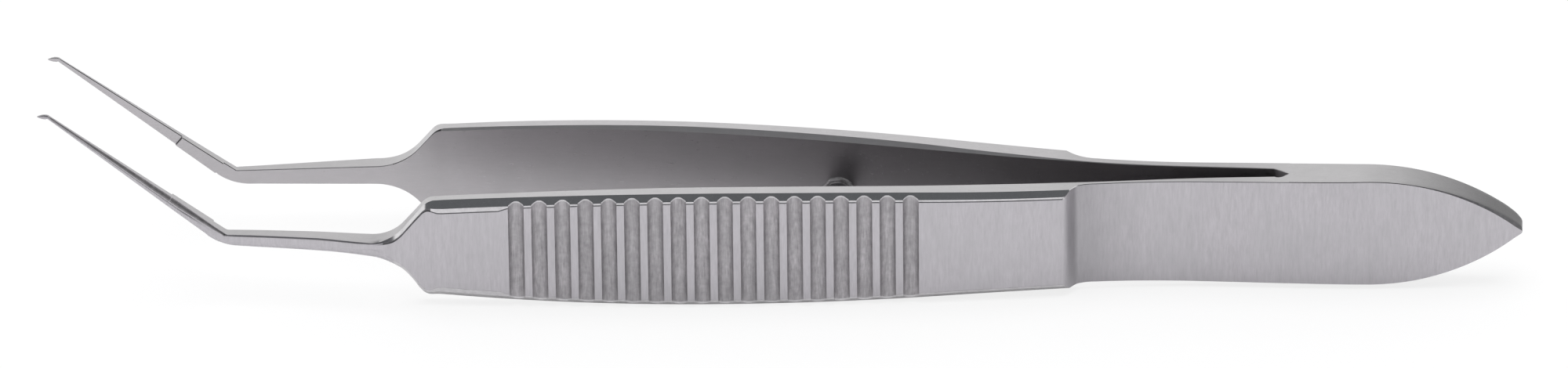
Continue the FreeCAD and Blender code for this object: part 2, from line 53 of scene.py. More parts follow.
# Places along X, from the end of the slot to the bend of the shaft.
APEX_X = SLOT_X + 0.54
FLAT_INNER_X = SLOT_X - 4.6
FLAT_OUTER_X = SLOT_X - 4.3
NARROW_X = SLOT_X - 9.8
RELIEF_X = SLOT_X - 10.2
STEP_X = SLOT_X - 12.2
CURVE_X = STEP_X - 2.6
WAIST_X = NARROW_X - 9.0
WIDEST_X = STEP_X - 19.2
BOW_X = STEP_X - 32.7
GRIP_X = STEP_X - 34.65
BEND_X = GRIP_X - 11.95
BEND_START_X = BEND_X + 1.6
# From here to the shank the flat section turns into a round-backed one.
ROUND_START_X = -21.4

# Faces of an arm, as distances from mid plane, and the radii of their curves.
INNER_BOW, INNER_RADIUS = 3.76, 212.0
OUTER_BOW, OUTER_RADIUS = 4.75, 250.0
SLOT_INNER, SLOPE = 0.42, math.tan(math.radians(2.9))
LEAF_INNER_RADIUS = 110.0
LEAF_OUTER, LEAF_OUTER_RADIUS = 1.10, 49.7
RELIEF_OUTER, RELIEF_RADIUS = 1.45, 2.4

# Half widths and the radii of the edges between them. The widest place rests on the floor.
SLOT_HALF, NARROW_HALF, WAIST_HALF = 3.25, 3.155, 3.3265
NARROW_RADIUS, WAIST_RADIUS, FRONT_RADIUS = 243.0, 340.0, 216.0

# The corner of the step at the end of the grip is softened between these places.
SOFT = {1: (STEP_X - 0.7, STEP_X + 0.35), -1: (STEP_X + 0.15, STEP_X + 1.05)}

# Shoulder, where 1 is the far arm and -1 the near one.
CORNER_RADIUS = 1.0
FILLET_RADIUS = {1: 3.2, -1: 2.5}
SHOULDER = math.radians(50)

# Grooves. The last one stands LAST_GROOVE from the step, and the plain grip ends at GROOVED_X.
GROOVES, PITCH, GROOVE_RADIUS, GROOVE_DEPTH = 18, 1.2925, 0.475, 0.30
MOUTH_DEPTH = 0.20
LAST_GROOVE = 8.2
GROOVED_X = 8.2

# Shaft: its lean, its length and how far the shank sinks on its way to the bend.
SHAFT_ANGLE = math.radians(37.8)
SHAFT_LENGTH = 12.2
DROP = 0.12
# Sections of shank and shaft: half height, whole thickness, the flat part of the upper and of
# the lower edge, and how far the upper corner drops.
SHANK = {1: {"half": 0.57, "thick": 1.06, "flat": 0.93, "low_flat": 0.85, "drop": 0.15},
         -1: {"half": 0.50, "thick": 1.00, "flat": 0.86, "low_flat": 0.52, "drop": 0.12}}
BEND = {1: {"half": 0.43, "thick": 0.54, "flat": 0.38, "low_flat": 0.28, "drop": 0.17},
        -1: {"half": 0.41, "thick": 0.70, "flat": 0.56, "low_flat": 0.27, "drop": 0.15}}
SHAFT = {"thick": 0.60, "flat": 0.23, "low_flat": 0.24, "drop": 0.29}
NECK = {"half": 0.10, "thick": 0.20, "flat": 0.08, "low_flat": 0.07, "drop": 0.07}
# The shaft's section is reached this far past the bend.
SHAFT_PLACE = 3.2
BEND_INNER, NECK_INNER = 3.32, {1: 3.13, -1: 3.27}
UPPER_BEND, LOWER_BEND = 0.3, 2.9
# The bend's rounding runs out this far down the shaft.
BEND_END = 0.95
# Raised stretch of the shaft, and half the run of the step at its end.
PLATFORM_START, PLATFORM_LENGTH, PLATFORM_RISE = 1.02, 2.82, 0.13
PLATFORM_STEP = 0.025
# How the finish of the shaft is picked: the far shaft's upper bevel takes the dark line steel and
# the near shaft's upper corner the dark shaft steel, both painted shade.
SHAFT_KIND = {1: "lined", -1: "scored"}

# Stop pin: its place, size and end rounding, and the room that its tip leaves the near arm.
PIN_X = STEP_X - 12.5
PIN_RADIUS, PIN_LENGTH, PIN_ROUNDING, PIN_ROOM = 0.75, 3.3, 0.3, 0.03
# Weld bead round the pin's foot, as (radius, height) pairs.
BEAD = [(0.95, -0.08), (0.97, -0.02), (0.975, 0.05), (0.95, 0.11), (0.90, 0.15), (0.84, 0.165),
        (0.79, 0.15), (0.762, 0.14)]

# Tail, by distance past the slot end: its widest place, its sides, which turn by so many
# degrees, and its rounded tip.
TAIL_WIDEST, TAIL_HALF, TAIL_RADIUS, TAIL_TURN = 5.0074, 3.3, 13.2, 40.06
TIP_START, TIP_CENTRE, TIP_RADIUS, TAIL_END = 13.5064, 13.16, 0.4, 13.5595

# Small roundings of the long edges of grip and leaf, and the narrow ledge under the chamfer.
EDGE = 0.05
LEAF_EDGE = 0.03
LEDGE = 0.045
ROLL_DEPTH = 0.012
FINE_BEVEL = 0.035
# How round the rolled edge and the inner bevel are, and how far a shaft's face crowns.
ROLL_CURVE = 1.6
BEVEL_CURVE = 0.25
CROWN = 0.18
# The most of a shaft's half height that its corner takes up.
CORNER_SHARE = 0.9
# Room kept between the drawn shoulder and the outside of the solids.
CLEAR = 0.005
# A blank face that stands so far out of the leaf leaves no chamfer on it.
NO_CHAMFER = 1.0


def mix(a, b, share):
    return a + (b - a) * share


def ease(share):
    share = min(max(share, 0.0), 1.0)
    return share * share * (3 - 2 * share)


def along(table, x):
    """Value at x from (x, value) pairs in rising order of x, straight between them."""
    if x <= table[0][0]:
        return table[0][1]
    for (x0, v0), (x1, v1) in zip(table, table[1:]):
        if x <= x1:
            return mix(v0, v1, (x - x0) / (x1 - x0))
    return table[-1][1]


def curve(share, run, first, last, first_slope, last_slope):
    """Value part of the way over a run, on a smooth curve with a slope at each end."""
    return (first * (1 + 2 * share) * (1 - share) ** 2 + last * (3 - 2 * share) * share * share
            + run * (first_slope * share * (1 - share) ** 2
                     - last_slope * share * share * (1 - share)))


def smooth_along(table, x):
    """Value at x on a smooth curve through (x, value) pairs."""
    if x <= table[0][0]:
        return table[0][1]
    if x >= table[-1][0]:
        return table[-1][1]
    k = max(i for i, (place, _) in enumerate(table) if place <= x)
    (x0, v0), (x1, v1) = table[k], table[k + 1]
    before, after = table[max(k - 1, 0)], table[min(k + 2, len(table) - 1)]
    slope0 = 0.0 if k == 0 else (v1 - before[1]) / (x1 - before[0])
    slope1 = 0.0 if k + 2 == len(table) else (after[1] - v0) / (after[0] - x0)
    return curve((x - x0) / (x1 - x0), x1 - x0, v0, v1, slope0, slope1)


def bow(crest, radius, distance):
    """Height of an arc at a distance from its crest."""
    return crest - radius + math.sqrt(radius ** 2 - distance ** 2)


def arc(x, start, end, radius, side):
    """Height at x on the arc through two points, with its centre above (1) or below (-1)."""
    run, rise = end[0] - start[0], end[1] - start[1]
    chord = math.hypot(run, rise)
    reach = math.sqrt(radius ** 2 - chord ** 2 / 4)
    up_x, up_y = -rise / chord, run / chord
    if up_y < 0:
        up_x, up_y = -up_x, -up_y
    centre_x = (start[0] + end[0]) / 2 + side * up_x * reach
    centre_y = (start[1] + end[1]) / 2 + side * up_y * reach
    return centre_y - side * math.sqrt(max(radius ** 2 - (x - centre_x) ** 2, 0.0))


def grip_inner(x):
    return bow(INNER_BOW, INNER_RADIUS, x - BOW_X)


def grip_outer(x):
    return bow(OUTER_BOW, OUTER_RADIUS, x - BOW_X)


def leaf_inner(x):
    return SLOT_INNER + (SLOT_X - x) * SLOPE


def inner_face(x):
    """Inner face of leaf, grip and shank."""
    if x >= FLAT_INNER_X:
        return leaf_inner(x)
    if x >= CURVE_X:
        start = (CURVE_X, grip_inner(CURVE_X))
        return arc(x, start, (FLAT_INNER_X, leaf_inner(FLAT_INNER_X)), LEAF_INNER_RADIUS, 1)
    if x >= GRIP_X:
        return grip_inner(x)
    return mix(grip_inner(GRIP_X), BEND_INNER, (GRIP_X - x) / (GRIP_X - BEND_X))


# Places of the shoulder, from its corner down to the shank.
GRIP_HALF = bow(MID_Z, FRONT_RADIUS, GRIP_X - WIDEST_X)
CORNER_X = GRIP_X - CORNER_RADIUS * math.sin(SHOULDER)
CORNER_Z = GRIP_HALF - CORNER_RADIUS * (1 - math.cos(SHOULDER))
FILLET_Z = {side: SHANK[side]["half"] + FILLET_RADIUS[side] * (1 - math.cos(SHOULDER))
            for side in (1, -1)}
FILLET_X = {side: CORNER_X - (CORNER_Z - FILLET_Z[side]) / math.tan(SHOULDER) for side in (1, -1)}
SHANK_X = {side: FILLET_X[side] - FILLET_RADIUS[side] * math.sin(SHOULDER) for side in (1, -1)}


def relief_outer(x):
    start, end = (STEP_X, grip_outer(STEP_X)), (RELIEF_X, RELIEF_OUTER)
    return arc(x, start, end, RELIEF_RADIUS, 1)


def step_outer(x, start, end):
    """Smooth way from the grip's face to the relief's, in line with both at its ends."""
    step = 0.01
    first, last = grip_outer(start), relief_outer(end)
    first_slope = (first - grip_outer(start - step)) / step
    last_slope = (relief_outer(end + step) - last) / step
    return curve((x - start) / (end - start), end - start, first, last, first_slope, last_slope)


def outer_face(x, side):
    """Outer face without the grooves."""
    if x >= FLAT_OUTER_X:
        return LEAF_OUTER
    if x >= RELIEF_X:
        start, end = (RELIEF_X, RELIEF_OUTER), (FLAT_OUTER_X, LEAF_OUTER)
        return arc(x, start, end, LEAF_OUTER_RADIUS, 1)
    soft_start, soft_end = SOFT[side]
    if x >= soft_end:
        return relief_outer(x)
    if x > soft_start:
        return step_outer(x, soft_start, soft_end)
    if x >= GRIP_X:
        return grip_outer(x)
    start = SHANK_X[side]
    if x >= start:
        end = inner_face(start) + SHANK[side]["thick"]
        return mix(grip_outer(GRIP_X), end, (GRIP_X - x) / (GRIP_X - start))
    share = (start - x) / (start - BEND_X)
    return inner_face(x) + mix(SHANK[side]["thick"], BEND[side]["thick"], share)


def plate_half(x):
    """Half width of the plate before the shoulder is cut."""
    if x >= SLOT_X:
        widening = 0.01
        return SLOT_HALF + widening * (x - SLOT_X)
    if x >= NARROW_X:
        return mix(NARROW_HALF, SLOT_HALF, (x - NARROW_X) / (SLOT_X - NARROW_X))
    if x >= WAIST_X:
        return arc(x, (WAIST_X, WAIST_HALF), (NARROW_X, NARROW_HALF), NARROW_RADIUS, 1)
    if x >= WIDEST_X:
        return arc(x, (WIDEST_X, MID_Z), (WAIST_X, WAIST_HALF), WAIST_RADIUS, -1)
    return bow(MID_Z, FRONT_RADIUS, x - WIDEST_X)


def half_width(x, side):
    """Half width with the shoulder."""
    if x >= GRIP_X:
        return plate_half(x)
    if x >= CORNER_X:
        return GRIP_HALF - CORNER_RADIUS + math.sqrt(CORNER_RADIUS ** 2 - (GRIP_X - x) ** 2)
    start, radius = SHANK_X[side], FILLET_RADIUS[side]
    if x >= FILLET_X[side]:
        return CORNER_Z - (CORNER_X - x) * math.tan(SHOULDER)
    if x >= start:
        return SHANK[side]["half"] + radius - math.sqrt(radius ** 2 - (x - start) ** 2)
    return mix(SHANK[side]["half"], BEND[side]["half"], (start - x) / (start - BEND_X))


# Widths in mm that change along X: the chamfer, the rolled edge under it, and the inner bevel.
CHAMFER = [(-22.4, 0.20), (-21.4, 0.24), (-20.0, 0.26), (-19.65, 0.29), (-19.25, 0.40),
           (-18.7, 0.43), (-10.0, 0.40), (8.0, 0.37), (15.6, 0.35)]
ROLL = [(-22.4, 0.08), (-20.0, 0.09), (-19.5, 0.10), (-19.0, 0.26), (-15.5, 0.26),
        (-15.1, 0.10), (15.6, 0.10)]
INNER_BEVEL = {
    1: [(-30.0, 0.035), (-20.0, 0.035), (-18.9, 0.13), (-13.4, 0.14), (-5.5, 0.235),
        (0.0, 0.255), (5.0, 0.25), (8.0, 0.215), (10.6, 0.155), (13.2, 0.12),
        (15.0, 0.07), (16.6, 0.035), (28.0, 0.03), (28.28, 0.002)],
    -1: [(-30.0, 0.035), (-20.0, 0.035), (-18.9, 0.06), (-13.4, 0.08), (-5.5, 0.12),
         (0.0, 0.13), (8.0, 0.11), (13.2, 0.07), (15.0, 0.045), (28.0, 0.03), (28.28, 0.002)],
}
# How far the near arm's outer top corner sinks below the inner one, between shoulder and shank.
TILT = {1: [(0.0, 0.0)],
        -1: [(-25.5, 0.0), (-22.9, 0.13), (-21.5, 0.27), (-20.4, 0.08), (-19.6, 0.0)]}
# How far the lower edge of the near shoulder hangs below the upper one's mirror image.
BELOW = {1: [(0.0, 0.0)],
         -1: [(-25.0, 0.0), (-23.6, 0.05), (-22.1, 0.18), (-21.4, 0.16), (-20.8, 0.03),
              (-20.4, 0.04), (-20.05, 0.15), (-19.6, 0.07), (-19.0, 0.0)]}
# How far each inner face stands outside the plain one.
INNER_SHIFT = {
    1: [(-23.0, 0.0), (-15.0, -0.11), (-5.6, -0.14), (3.0, -0.18), (11.0, -0.13), (15.0, -0.07),
        (19.0, -0.10), (24.0, -0.04), (27.0, 0.0)],
    -1: [(-31.0, -0.08), (-26.0, 0.0), (-22.8, 0.19), (-20.7, 0.17), (-18.8, 0.03),
         (-15.0, -0.02), (-10.0, -0.11), (-5.0, -0.17), (1.0, -0.12), (6.0, -0.04),
         (11.0, -0.01), (15.0, 0.10), (19.5, 0.11), (24.0, 0.0), (27.0, 0.0)],
}

# Strips between neighbouring points of a half section, from the inner face round to the outer.
CHAMFER_POINTS, ROLL_POINTS = 4, 4
INNER_STEPS, BEVEL_STEPS, TOP_STEPS, FACE_STEPS = 3, 2, 3, 3
EDGE_STEPS = CHAMFER_POINTS + ROLL_POINTS + 1
HALF_COUNT = INNER_STEPS + BEVEL_STEPS + TOP_STEPS + EDGE_STEPS + FACE_STEPS


def edge_profile(x):
    """Long outer edge of the grip as (depth under the face, drop from the edge) pairs."""
    chamfer, roll = along(CHAMFER, x), along(ROLL, x)
    bottom = LEDGE + ROLL_DEPTH
    pairs = [(mix(chamfer, bottom, k / CHAMFER_POINTS),
              (chamfer - bottom) * k / CHAMFER_POINTS) for k in range(CHAMFER_POINTS + 1)]
    for k in range(1, ROLL_POINTS + 1):
        share = k / ROLL_POINTS
        depth = bottom - ROLL_DEPTH * (1 - (1 - share) ** ROLL_CURVE)
        pairs.append((depth, chamfer - bottom + roll * share))
    pairs.append((0.0, chamfer - bottom + roll + LEDGE))
    return pairs


def drop_at(pairs, depth):
    """Drop where the profile is at a depth."""
    return along(pairs[::-1], depth)


def depth_at(pairs, drop):
    """Depth where the profile has a drop."""
    return along([(z, d) for d, z in pairs], drop)


def groove_mouth(station):
    """Points where a groove runs out through the chamfer, shallower there than below."""
    x, blank, outer, half = (station[k] for k in ("x", "blank", "outer", "half"))
    chamfer, roll = along(CHAMFER, x), along(ROLL, x)
    kept = LEDGE + ROLL_DEPTH + station["mouth"]
    points = [(blank - mix(chamfer, kept, k / CHAMFER_POINTS),
               half - (chamfer - kept) * k / CHAMFER_POINTS) for k in range(CHAMFER_POINTS + 1)]
    low = half - (chamfer - kept)
    # Shares of the groove's depth that the rolled edge takes, and of the mouth that the rest does.
    rolled, lowered = 0.4, 0.8
    for k in range(1, ROLL_POINTS + 1):
        share = k / ROLL_POINTS
        points.append((blank - mix(kept, blank - outer, share * rolled), low - roll * share))
    points.append((outer, low - roll - LEDGE - station["mouth"] * lowered))
    return points


def outer_edge(station):
    """Points from the top face round the long edge to the outer face, as (y, z)."""
    if station["mouth"] is not None:
        return groove_mouth(station)
    x = station["x"]
    outer, half, blank, blank_half = (station[k] for k in ("outer", "half", "blank", "blank_half"))
    edge = station["edge"]
    pairs = edge_profile(x)
    cut = max(blank - outer, 0.0)
    start = depth_at(pairs, max(blank_half - half, 0.0))
    span_y = start - cut
    first_drop = drop_at(pairs, start)
    span_z = drop_at(pairs, cut) - first_drop
    least = 1e-4
    shaped = span_y > least and span_z > least
    whole = pairs[0][0]
    points = []
    for depth, _ in pairs:
        share = (whole - depth) / whole
        z_share = share
        if shaped:
            z_share = (drop_at(pairs, start - span_y * share) - first_drop) / span_z
        points.append((outer - max(span_y, edge) * (1 - share),
                       half - max(span_z, edge) * z_share))
    return points


def plate_section(station):
    """Outside of a half section of leaf or grip, down to its middle."""
    points = outer_edge(station)
    low = points[-1][1]
    for k in range(1, FACE_STEPS + 1):
        points.append((station["outer"], low * (1 - k / FACE_STEPS)))
    return points


def round_section(station, low):
    """Flat top, a rounded corner, then a face with a slight crown to the middle of the outside."""
    half, thick = station["half"], station["thick"]
    flat = station["low_flat" if low else "flat"]
    crown = (thick - flat) * CROWN
    wide = thick - flat - crown
    high = half * CORNER_SHARE
    if not low:
        high = min(station["drop"], high)
    points = []
    for k in range(EDGE_STEPS + 1):
        turn = math.radians(90 * k / EDGE_STEPS)
        points.append((station["inner"] + flat + wide * math.sin(turn),
                       half - high * (1 - math.cos(turn))))
    for k in range(1, FACE_STEPS + 1):
        share = k / FACE_STEPS
        points.append((station["inner"] + flat + wide + crown * (1 - (1 - share) ** 2),
                       (half - high) * (1 - share)))
    return points


def half_section(station, low=False):
    """Half of a section, from the middle of the inner face to the middle of the outer."""
    inner, half, bevel = station["inner"], station["half"], station["bevel"]
    share = station["round"]
    outside = plate_section(station) if share < 1 else round_section(station, low)
    if 0 < share < 1:
        outside = [(mix(a[0], b[0], share), mix(a[1], b[1], share))
                   for a, b in zip(outside, round_section(station, low))]
    points = [(inner, (half - bevel) * k / INNER_STEPS) for k in range(INNER_STEPS + 1)]
    for k in range(1, BEVEL_STEPS + 1):
        turn = math.radians(90 * k / BEVEL_STEPS)
        flat = k / BEVEL_STEPS
        points.append((inner + bevel * mix(flat, 1 - math.cos(turn), BEVEL_CURVE),
                       half - bevel * (1 - mix(flat, math.sin(turn), BEVEL_CURVE))))
    first = outside[0][0]
    for k in range(1, TOP_STEPS):
        points.append((mix(inner + bevel, first, k / TOP_STEPS), half))
    return points + outside


def ring(station, side):
    """Whole section in place, from the middle of the inner face up and round."""
    upper, lower = station["upper"], station["lower"]
    centre = ((upper[0] + lower[0]) / 2, (upper[1] + lower[1]) / 2)
    length = math.hypot(upper[0] - lower[0], upper[1] - lower[1])
    up = ((upper[0] - lower[0]) / length, (upper[1] - lower[1]) / length)
    whole = half_section(station)
    whole += [(y, -z) for y, z in reversed(half_section(station, True)[1:-1])]
    tilt = station.get("tilt", 0.0) / station["half"]
    placed = []
    for y, z in whole:
        if z > 0:
            z *= 1 - tilt * (y - station["inner"]) / station["thick"]
        else:
            z *= 1 + station.get("below", 0.0) / station["half"]
        placed.append((centre[0] + up[0] * z, side * y, MID_Z + centre[1] + up[1] * z))
    return placed


# Where the edges of the shoulder take the dark line steel: painted shade.
SLOPE_START, SLOPE_END = -22.0, -19.35


def plate_station(x, side, kind="face", outer=None, mouth=None):
    """Sizes of one section of leaf, grip or shank. A groove brings its own outer face and mouth."""
    shift = smooth_along(INNER_SHIFT[side], x)
    inner = inner_face(x) + shift
    half = half_width(x, side)
    face = outer_face(x, side) if outer is None else outer
    blank = outer_face(x, side)
    if x >= RELIEF_X:
        blank = face + NO_CHAMFER
    elif x >= GRIP_X:
        blank = grip_outer(x)
    start = SHANK_X[side]
    back = max(start - x, 0) / (start - BEND_X)
    sink = DROP * back
    sizes = {key: mix(SHANK[side][key], BEND[side][key], back)
             for key in ("flat", "low_flat", "drop")}
    thick = face - inner
    if x < GRIP_X:
        thick = min(thick + shift, OUTER_BOW - CLEAR - inner)
    if SLOPE_START < x < SLOPE_END:
        kind = "slope"
    # The chamfer follows the plate's own edge up to just before the shoulder.
    blank_half = plate_half(x) if x > GRIP_X + 0.2 else half
    return {"x": x, "kind": kind, "inner": inner, "outer": face, "half": half,
            "blank": blank, "blank_half": blank_half,
            "edge": EDGE if x < STEP_X else LEAF_EDGE, "mouth": mouth,
            "bevel": along(INNER_BEVEL[side], x),
            "round": ease((ROUND_START_X - x) / (ROUND_START_X - start)),
            "thick": thick, "tilt": along(TILT[side], x),
            "below": smooth_along(BELOW[side], x), **sizes,
            "upper": (x, half - sink), "lower": (x, -half - sink)}


def spread(start, end, count):
    """Places from start to end, without the end."""
    return [mix(start, end, k / count) for k in range(count)]


# Inner faces at the slot end, which narrows to a slanting weld notch.
NOTCH = {
    1: [(27.30, None), (27.42, 0.43), (27.55, 0.37), (27.75, 0.26), (28.0, 0.10), (APEX_X, -0.10)],
    -1: [(27.45, None), (27.50, 0.44), (27.56, 0.50), (27.75, 0.50), (27.92, 0.42),
         (28.08, 0.27), (APEX_X, 0.10)],
}


def groove_stations(side):
    """Stations of the round-bottomed grooves, which are square to the bowed outer face."""
    stations = []
    reach = OUTER_RADIUS + GROOVE_RADIUS - GROOVE_DEPTH
    first = math.asin((STEP_X - LAST_GROOVE - BOW_X) / reach)
    half_turn = math.acos((GROOVE_RADIUS - GROOVE_DEPTH) / GROOVE_RADIUS)
    cuts = 14
    for number in range(GROOVES):
        angle = first - number * PITCH / OUTER_RADIUS
        centre = (BOW_X + reach * math.sin(angle),
                  OUTER_BOW - OUTER_RADIUS + reach * math.cos(angle))
        stations.append(plate_station(centre[0] + PITCH / 2, side))
        for k in range(cuts + 1):
            turn = half_turn * (1 - 2 * k / cuts)
            across = GROOVE_RADIUS * math.sin(turn)
            deep = GROOVE_RADIUS * math.cos(turn)
            x = centre[0] - deep * math.sin(angle) + across * math.cos(angle)
            y = centre[1] - deep * math.cos(angle) - across * math.sin(angle)
            inward = 1 - abs(math.sin(turn)) / math.sin(half_turn)
            arched = math.sqrt(inward * (2 - inward))
            mouth = MOUTH_DEPTH * mix(arched, ease(1.2 * inward), 0.45)
            if k in (0, cuts):
                y = mouth = None
            stations.append(plate_station(x, side, "groove" if k < cuts else "face", y, mouth))
    return stations


def plate_stations(side):
    """Stations of leaf, grip and shoulder, from the tail to the shank.

    They stand closer where the shape turns.
    """
    stations = []
    for x, y in reversed(NOTCH[side]):
        station = plate_station(x, side)
        station["inner"] = inner_face(x) if y is None else y
        stations.append(station)
    soft_start, soft_end = SOFT[side]
    places = spread(NOTCH[side][0][0] - 0.15, FLAT_OUTER_X, 8)
    places += spread(FLAT_OUTER_X, RELIEF_X, 14)
    places += spread(RELIEF_X, soft_end, 16)
    places += spread(soft_end, soft_start, 20)
    places += spread(soft_start, GROOVED_X, 14)
    stations += [plate_station(x, side) for x in places]
    stations += groove_stations(side)
    corner_cuts, fillet_cuts = 10, 14
    places = spread(stations[-1]["x"] - 0.1, GRIP_X + 0.45, 8) + spread(GRIP_X + 0.45, GRIP_X, 5)
    places += [GRIP_X - CORNER_RADIUS * math.sin(SHOULDER * k / corner_cuts)
               for k in range(corner_cuts)]
    places += spread(CORNER_X, FILLET_X[side], 5)
    places += [SHANK_X[side] + FILLET_RADIUS[side] * math.sin(SHOULDER * (1 - k / fillet_cuts))
               for k in range(fillet_cuts)]
    places += spread(SHANK_X[side], BEND_START_X, 9)
    stations += [plate_station(x, side) for x in places]
    return stations


def fillet(corner, radius, angle):
    """Point on the rounding of a bend at a corner."""
    centre = (corner[0] + radius * math.tan(SHAFT_ANGLE / 2), corner[1] + radius)
    return (centre[0] - radius * math.sin(angle), centre[1] - radius * math.cos(angle))


def bend_inner(side):
    return BEND_INNER + smooth_along(INNER_SHIFT[side], BEND_X)


def between(first, second, share):
    """Section sizes on the way from one place to another."""
    return {key: mix(first[key], second[key], share) for key in SHAFT}


def on_way(start, end, share):
    """Upper and lower point of a section between two others."""
    return tuple(tuple(mix(a, b, share) for a, b in zip(one, other))
                 for one, other in zip(start, end))


def bend_stations(side):
    """Stations round the bend, each from an upper point to a lower one."""
    half_turn = SHAFT_ANGLE / 2
    high = BEND[side]["half"] / math.cos(half_turn)
    corners = [(BEND_X + sign * high * math.sin(half_turn),
                -DROP + sign * high * math.cos(half_turn)) for sign in (1, -1)]
    cuts = 14
    rounding = [tuple(fillet(corner, radius, SHAFT_ANGLE * k / cuts)
                      for corner, radius in zip(corners, (UPPER_BEND, LOWER_BEND)))
                for k in range(cuts + 1)]
    before = plate_station(BEND_START_X, side)
    after = shaft_station(BEND_END, side)
    start, end = ((one["upper"], one["lower"]) for one in (before, after))
    pairs = [on_way(start, rounding[0], share) for share in (0.0, 0.35, 0.7)]
    pairs += rounding
    pairs += [on_way(rounding[-1], end, share) for share in (0.35, 0.7)]
    made = []
    for upper, lower in pairs:
        middle = ((upper[0] + lower[0]) / 2, (upper[1] + lower[1]) / 2)
        half = math.dist(upper, lower) / 2
        back = middle[0] - BEND_X
        if back > 0:
            share = back / (SHANK_X[side] - BEND_X)
            target = SHANK[side]
            inner = inner_face(middle[0]) + smooth_along(INNER_SHIFT[side], middle[0])
        else:
            along_shaft = math.hypot(middle[0] - BEND_X, middle[1] + DROP)
            share = along_shaft / SHAFT_PLACE
            target = SHAFT
            inner = mix(bend_inner(side), NECK_INNER[side], along_shaft / SHAFT_LENGTH)
        made.append({"x": middle[0], "kind": "face" if back > 0 else SHAFT_KIND[side],
                     "inner": inner, "half": half,
                     "bevel": FINE_BEVEL, "round": 1.0, "upper": upper, "lower": lower,
                     **between(BEND[side], target, share)})
    return made


def shaft_station(s, side, rise=0.0):
    """Section of the shaft at a distance from the bend."""
    share = s / SHAFT_LENGTH
    half = mix(BEND[side]["half"], NECK["half"], share)
    centre = (BEND_X - s * math.cos(SHAFT_ANGLE), -DROP + s * math.sin(SHAFT_ANGLE))
    up = (math.sin(SHAFT_ANGLE), math.cos(SHAFT_ANGLE))
    inner = mix(bend_inner(side), NECK_INNER[side], share)
    if s < SHAFT_PLACE:
        sizes = between(BEND[side], SHAFT, s / SHAFT_PLACE)
    else:
        sizes = between(SHAFT, NECK, (s - SHAFT_PLACE) / (SHAFT_LENGTH - SHAFT_PLACE))
    for key in ("thick", "flat", "low_flat"):
        sizes[key] += rise
    return {"x": centre[0], "kind": SHAFT_KIND[side], "inner": inner - rise, "half": half,
            "bevel": min(FINE_BEVEL, half * 0.25), "round": 1.0, **sizes,
            "upper": (centre[0] + up[0] * half, centre[1] + up[1] * half),
            "lower": (centre[0] - up[0] * half, centre[1] - up[1] * half)}


def shaft_stations(side):
    """Stations from the bend to the neck, with the raised stretch near the bend."""
    near, far = PLATFORM_START, PLATFORM_START + PLATFORM_LENGTH
    made = [shaft_station(near - 0.01, side), shaft_station(near + 0.01, side, PLATFORM_RISE)]
    made += [shaft_station(s, side, PLATFORM_RISE) for s in spread(near + 0.4, far - 0.1, 5)]
    made += [{**shaft_station(far - PLATFORM_STEP, side, PLATFORM_RISE), "kind": "step"},
             shaft_station(far + PLATFORM_STEP, side), shaft_station(far + 0.25, side)]
    made += [shaft_station(s, side) for s in spread(far + 0.6, SHAFT_LENGTH - 0.25, 12)]
    made.append(shaft_station(SHAFT_LENGTH - 0.2, side))
    return made


# The foot: distance ahead of the neck, lean in degrees, half height, thickness.
FOOT = [(-0.06, 30, 0.098, 0.20), (0.00, 16, 0.108, 0.205), (0.06, 6, 0.124, 0.21),
        (0.13, 0, 0.135, 0.21), (0.22, 0, 0.134, 0.20), (0.31, 0, 0.121, 0.185),
        (0.40, 0, 0.097, 0.16), (0.48, 0, 0.068, 0.13), (0.545, 0, 0.041, 0.10),
        (0.585, 0, 0.021, 0.075), (0.60, 0, 0.008, 0.05)]


def foot_stations(side):
    """Stations of the small pointed foot, which turns level again at the neck."""
    neck = (BEND_X - SHAFT_LENGTH * math.cos(SHAFT_ANGLE),
            -DROP + SHAFT_LENGTH * math.sin(SHAFT_ANGLE))
    made = []
    for ahead, lean, half, thick in FOOT:
        lean = math.radians(lean)
        up = (math.sin(lean), math.cos(lean))
        sink = -math.tan(SHAFT_ANGLE) * max(-ahead, 0.0)
        centre = (neck[0] - ahead, neck[1] + sink)
        made.append({"x": centre[0], "kind": "face", "half": half,
                     "inner": NECK_INNER[side] + (NECK["thick"] - thick) * 0.3,
                     "bevel": half * 0.25, "round": 1.0, "thick": thick, "flat": thick * 0.5,
                     "low_flat": thick * 0.5, "drop": half * 0.6,
                     "upper": (centre[0] + up[0] * half, centre[1] + up[1] * half),
                     "lower": (centre[0] - up[0] * half, centre[1] - up[1] * half)})
    return made


# Edges that turn more than this stay sharp.
CREASE = math.radians(24)
# Material numbers in an arm's list.
BRUSHED, TOP, POLISHED, BLASTED, INSIDE, WORN, BEVEL, PAINTED_LINE, PAINTED_SHADE = range(9)
# Strips of the near shaft's upper corner that take the dark shaft steel: painted shade.
PAINTED_SHADE_STRIPS = range(2, 8)


def finish_of(index, kind, rounded):
    """Material of the strip between two neighbouring points of a half section."""
    # The dark line steel paints shade: on the end face of the shaft's raised stretch, on the upper
    # bevels of the shoulder slope and the far shaft, and on the rolled edge of the slope.
    if index < INNER_STEPS:
        return PAINTED_LINE if kind == "step" else INSIDE
    if index < INNER_STEPS + BEVEL_STEPS:
        return PAINTED_LINE if kind in ("slope", "lined") else BEVEL
    if index < INNER_STEPS + BEVEL_STEPS + TOP_STEPS:
        return TOP
    index -= INNER_STEPS + BEVEL_STEPS + TOP_STEPS
    if kind == "slope" and CHAMFER_POINTS <= index < EDGE_STEPS:
        return PAINTED_LINE
    if kind == "scored" and index in PAINTED_SHADE_STRIPS:
        return PAINTED_SHADE
    if rounded:
        return BRUSHED
    if index < CHAMFER_POINTS:
        return POLISHED
    if index < (EDGE_STEPS - 1 if kind == "groove" else EDGE_STEPS):
        return WORN
    return BLASTED if kind == "groove" else BRUSHED


